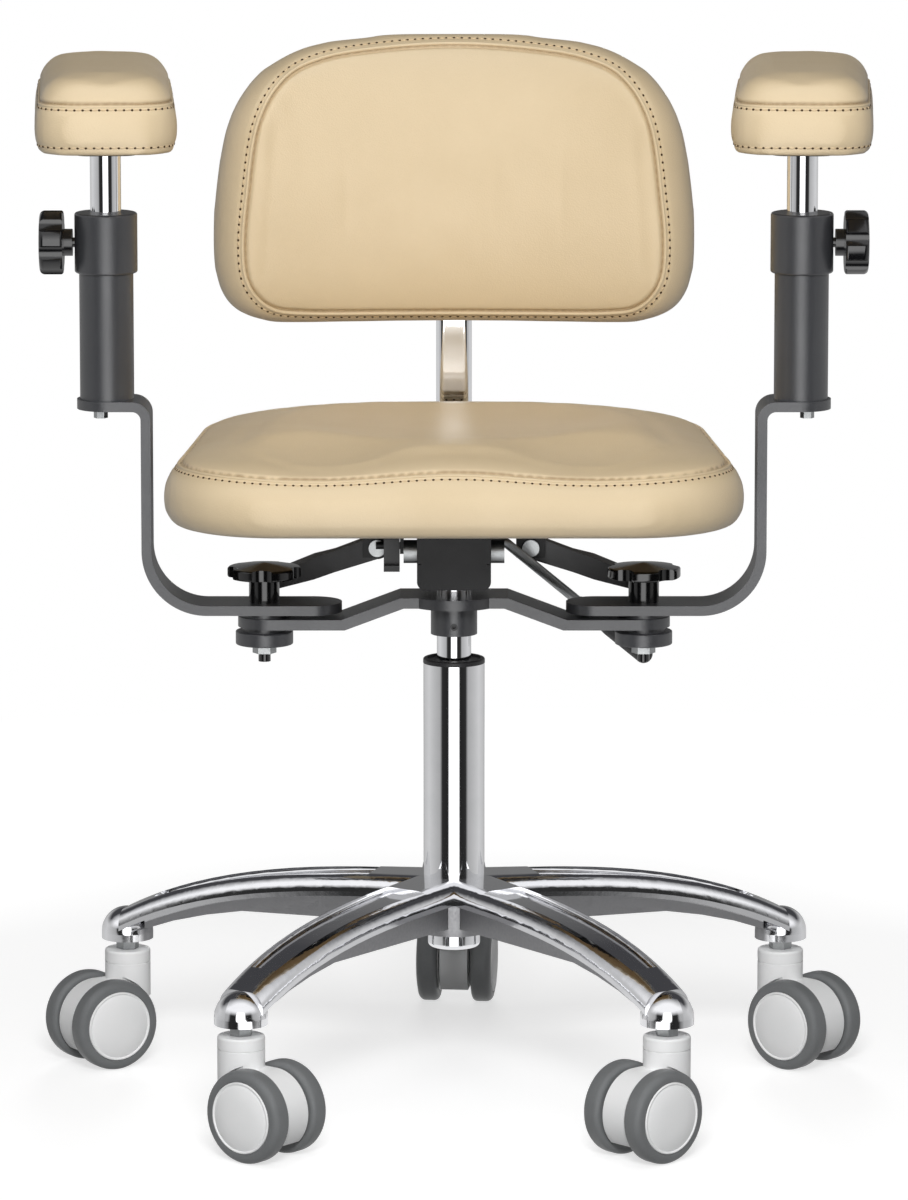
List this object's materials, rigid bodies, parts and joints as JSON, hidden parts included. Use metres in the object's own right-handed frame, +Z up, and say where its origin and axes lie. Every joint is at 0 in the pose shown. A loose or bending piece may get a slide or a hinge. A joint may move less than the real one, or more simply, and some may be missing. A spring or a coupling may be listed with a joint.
{
  "type": "microscope chair",
  "caption": "Height-adjustable microscope chair with a contoured seat, wrapped backrest, swivelling padded arm rests on bent brackets, gas lift and a star base on twin-wheel casters.",
  "frame": {"origin": "on the floor, on the column's axis", "axes": "+Z up along the column, -Y the way the sitter faces, +X to the sitter's left (the viewer's right in the picture)"},
  "size_m": [0.687, 0.6498, 0.852],
  "materials": {
    "leatherette": "smooth upholstery",
    "polished_aluminium": "polished",
    "chrome": "polished",
    "zinc_steel": "zinc plated",
    "dark_coat": "fine textured powder coat",
    "black_coat": "satin",
    "black_plastic": "matte",
    "gloss_black": "gloss",
    "caster_grey": "satin",
    "tread": "satin",
    "seat_board": "plywood"
  },
  "bodies": {
    "base": {"star_base": "polished_aluminium", "column_tube": "polished_aluminium", "guide_bush": "black_plastic", "hub_cap": "chrome", "thrust_bearing": "zinc_steel", "caster_stems": "zinc_steel"},
    "rod": {"piston_rod": "chrome"},
    "lift": {"lift_cylinder": "chrome", "arm_carrier": "dark_coat", "pivot_washers": "dark_coat", "clamp_discs": "dark_coat", "carrier_fasteners": "zinc_steel", "tilt_housing": "black_coat"},
    "release": {"release_pin": "zinc_steel"},
    "lever": {"lift_lever_rod": "zinc_steel", "lift_lever_grip": "black_plastic"},
    "seat": {"seat_channel": "black_coat", "mechanism_pins": "zinc_steel", "seat_board": "seat_board", "seat_cushion": "leatherette"},
    "tilt_paddle": {"tilt_lever": "black_plastic"},
    "recline_paddle": {"recline_lever": "black_plastic"},
    "latch": {"latch_tab": "black_plastic"},
    "back_arm": {"back_yoke": "black_coat", "back_post": "chrome"},
    "backrest": {"back_shell": "black_plastic", "back_cushion": "leatherette"},
    "back_clamp": {"back_knob": "gloss_black"},
    "arm_left": {"arm_bracket_left": "dark_coat", "arm_sleeve_left": "dark_coat", "sleeve_screw_left": "zinc_steel"},
    "star_left": {"star_knob_left": "gloss_black"},
    "post_left": {"arm_post_left": "chrome"},
    "pad_left": {"pad_plate_left": "black_coat", "pad_cushion_left": "leatherette"},
    "clamp_left": {"clamp_knob_left": "gloss_black"},
    "arm_right": {"arm_bracket_right": "dark_coat", "arm_sleeve_right": "dark_coat", "sleeve_screw_right": "zinc_steel"},
    "star_right": {"star_knob_right": "gloss_black"},
    "post_right": {"arm_post_right": "chrome"},
    "pad_right": {"pad_plate_right": "black_coat", "pad_cushion_right": "leatherette"},
    "clamp_right": {"clamp_knob_right": "gloss_black"},
    "caster_front_left": {"caster_hood_front_left": "caster_grey"},
    "wheel_left_front_left": {"wheel_left_front_left": "tread"},
    "wheel_right_front_left": {"wheel_right_front_left": "tread"},
    "caster_front_right": {"caster_hood_front_right": "caster_grey"},
    "wheel_left_front_right": {"wheel_left_front_right": "tread"},
    "wheel_right_front_right": {"wheel_right_front_right": "tread"},
    "caster_side_left": {"caster_hood_side_left": "caster_grey"},
    "wheel_left_side_left": {"wheel_left_side_left": "tread"},
    "wheel_right_side_left": {"wheel_right_side_left": "tread"},
    "caster_side_right": {"caster_hood_side_right": "caster_grey"},
    "wheel_left_side_right": {"wheel_left_side_right": "tread"},
    "wheel_right_side_right": {"wheel_right_side_right": "tread"},
    "caster_rear": {"caster_hood_rear": "caster_grey"},
    "wheel_left_rear": {"wheel_left_rear": "tread"},
    "wheel_right_rear": {"wheel_right_rear": "tread"}
  },
  "joints": [
    {"name": "seat_swivel", "type": "hinge", "parent": "base", "child": "rod", "pos_m": [0, 0, 0.14], "axis": [0, 0, 1], "continuous": true},
    {"name": "seat_height", "type": "slide", "parent": "rod", "child": "lift", "axis": [0, 0, 1], "range_m": [-0.01, 0.12]},
    {"name": "lift_lever_press", "type": "hinge", "parent": "lift", "child": "lever", "pos_m": [0.02, 0, 0.455], "axis": [0, -1, 0], "range_deg": [0, 6]},
    {"name": "release_press", "type": "slide", "parent": "lift", "child": "release", "axis": [0, 0, 1], "range_m": [-0.0026, 0]},
    {"name": "seat_tilt", "type": "hinge", "parent": "lift", "child": "seat", "pos_m": [0, -0.02, 0.449], "axis": [1, 0, 0], "range_deg": [-8, 3]},
    {"name": "tilt_lever_lift", "type": "hinge", "parent": "seat", "child": "tilt_paddle", "pos_m": [-0.063, 0.04, 0.443], "axis": [0, 1, 0], "range_deg": [0, 8]},
    {"name": "recline_lever_lift", "type": "hinge", "parent": "seat", "child": "recline_paddle", "pos_m": [0.063, 0.04, 0.443], "axis": [0, -1, 0], "range_deg": [0, 8]},
    {"name": "latch_turn", "type": "hinge", "parent": "seat", "child": "latch", "pos_m": [-0.051, 0.022, 0.447], "axis": [1, 0, 0], "range_deg": [-20, 20]},
    {"name": "back_recline", "type": "hinge", "parent": "seat", "child": "back_arm", "pos_m": [0, 0.085, 0.455], "axis": [1, 0, 0], "range_deg": [-15, 4]},
    {"name": "back_height", "type": "slide", "parent": "back_arm", "child": "backrest", "axis": [0, 0, 1], "range_m": [-0.03, 0.05]},
    {"name": "back_clamp_turn", "type": "hinge", "parent": "backrest", "child": "back_clamp", "pos_m": [0, 0.26, 0.692], "axis": [0, 1, 0], "range_deg": [0, 360]},
    {"name": "arm_pivot_left", "type": "hinge", "parent": "lift", "child": "arm_left", "pos_m": [-0.155, 0, 0.4], "axis": [0, 0, 1], "range_deg": [-12, 12]},
    {"name": "star_turn_left", "type": "hinge", "parent": "arm_left", "child": "star_left", "pos_m": [-0.155, 0, 0.43], "axis": [0, 0, 1], "range_deg": [0, 360]},
    {"name": "arm_height_left", "type": "slide", "parent": "arm_left", "child": "post_left", "axis": [0, 0, 1], "range_m": [-0.04, 0.06]},
    {"name": "pad_swivel_left", "type": "hinge", "parent": "post_left", "child": "pad_left", "pos_m": [-0.282, 0, 0.78], "axis": [0, 0, 1], "range_deg": [-90, 90]},
    {"name": "clamp_turn_left", "type": "hinge", "parent": "arm_left", "child": "clamp_left", "pos_m": [-0.3245, 0, 0.6995], "axis": [1, 0, 0], "range_deg": [0, 360]},
    {"name": "arm_pivot_right", "type": "hinge", "parent": "lift", "child": "arm_right", "pos_m": [0.155, 0, 0.4], "axis": [0, 0, 1], "range_deg": [-12, 12]},
    {"name": "star_turn_right", "type": "hinge", "parent": "arm_right", "child": "star_right", "pos_m": [0.155, 0, 0.43], "axis": [0, 0, 1], "range_deg": [0, 360]},
    {"name": "arm_height_right", "type": "slide", "parent": "arm_right", "child": "post_right", "axis": [0, 0, 1], "range_m": [-0.04, 0.06]},
    {"name": "pad_swivel_right", "type": "hinge", "parent": "post_right", "child": "pad_right", "pos_m": [0.282, 0, 0.78], "axis": [0, 0, 1], "range_deg": [-90, 90]},
    {"name": "clamp_turn_right", "type": "hinge", "parent": "arm_right", "child": "clamp_right", "pos_m": [0.3245, 0, 0.6995], "axis": [1, 0, 0], "range_deg": [0, 360]},
    {"name": "caster_swivel_front_left", "type": "hinge", "parent": "base", "child": "caster_front_left", "pos_m": [-0.16869, -0.23219, 0.093], "axis": [0, 0, 1], "continuous": true},
    {"name": "wheel_spin_left_front_left", "type": "hinge", "parent": "caster_front_left", "child": "wheel_left_front_left", "pos_m": [-0.1484, -0.24844, 0.0375], "axis": [0.6252, 0.7804, 0], "continuous": true},
    {"name": "wheel_spin_right_front_left", "type": "hinge", "parent": "caster_front_left", "child": "wheel_right_front_left", "pos_m": [-0.1484, -0.24844, 0.0375], "axis": [0.6252, 0.7804, 0], "continuous": true},
    {"name": "caster_swivel_front_right", "type": "hinge", "parent": "base", "child": "caster_front_right", "pos_m": [0.16869, -0.23219, 0.093], "axis": [0, 0, 1], "continuous": true},
    {"name": "wheel_spin_left_front_right", "type": "hinge", "parent": "caster_front_right", "child": "wheel_left_front_right", "pos_m": [0.14965, -0.24989, 0.0375], "axis": [0.6807, -0.7325, 0], "continuous": true},
    {"name": "wheel_spin_right_front_right", "type": "hinge", "parent": "caster_front_right", "child": "wheel_right_front_right", "pos_m": [0.14965, -0.24989, 0.0375], "axis": [0.6807, -0.7325, 0], "continuous": true},
    {"name": "caster_swivel_side_left", "type": "hinge", "parent": "base", "child": "caster_side_left", "pos_m": [-0.27295, 0.08869, 0.093], "axis": [0, 0, 1], "continuous": true},
    {"name": "wheel_spin_left_side_left", "type": "hinge", "parent": "caster_side_left", "child": "wheel_left_side_left", "pos_m": [-0.29505, 0.07499, 0.0375], "axis": [0.527, -0.8499, 0], "continuous": true},
    {"name": "wheel_spin_right_side_left", "type": "hinge", "parent": "caster_side_left", "child": "wheel_right_side_left", "pos_m": [-0.29505, 0.07499, 0.0375], "axis": [0.527, -0.8499, 0], "continuous": true},
    {"name": "caster_swivel_side_right", "type": "hinge", "parent": "base", "child": "caster_side_right", "pos_m": [0.27295, 0.08869, 0.093], "axis": [0, 0, 1], "continuous": true},
    {"name": "wheel_spin_left_side_right", "type": "hinge", "parent": "caster_side_right", "child": "wheel_left_side_right", "pos_m": [0.29249, 0.07153, 0.0375], "axis": [0.66, 0.7513, 0], "continuous": true},
    {"name": "wheel_spin_right_side_right", "type": "hinge", "parent": "caster_side_right", "child": "wheel_right_side_right", "pos_m": [0.29249, 0.07153, 0.0375], "axis": [0.66, 0.7513, 0], "continuous": true},
    {"name": "caster_swivel_rear", "type": "hinge", "parent": "base", "child": "caster_rear", "pos_m": [0, 0.287, 0.093], "axis": [0, 0, 1], "continuous": true},
    {"name": "wheel_spin_left_rear", "type": "hinge", "parent": "caster_rear", "child": "wheel_left_rear", "pos_m": [0.00272, 0.31286, 0.0375], "axis": [-0.9945, 0.1045, 0], "continuous": true},
    {"name": "wheel_spin_right_rear", "type": "hinge", "parent": "caster_rear", "child": "wheel_right_rear", "pos_m": [0.00272, 0.31286, 0.0375], "axis": [-0.9945, 0.1045, 0], "continuous": true}
  ],
  "couplings": [
    {"joint": "release_press", "follows": "lift_lever_press", "m_per_rad": -0.0235}
  ]
}
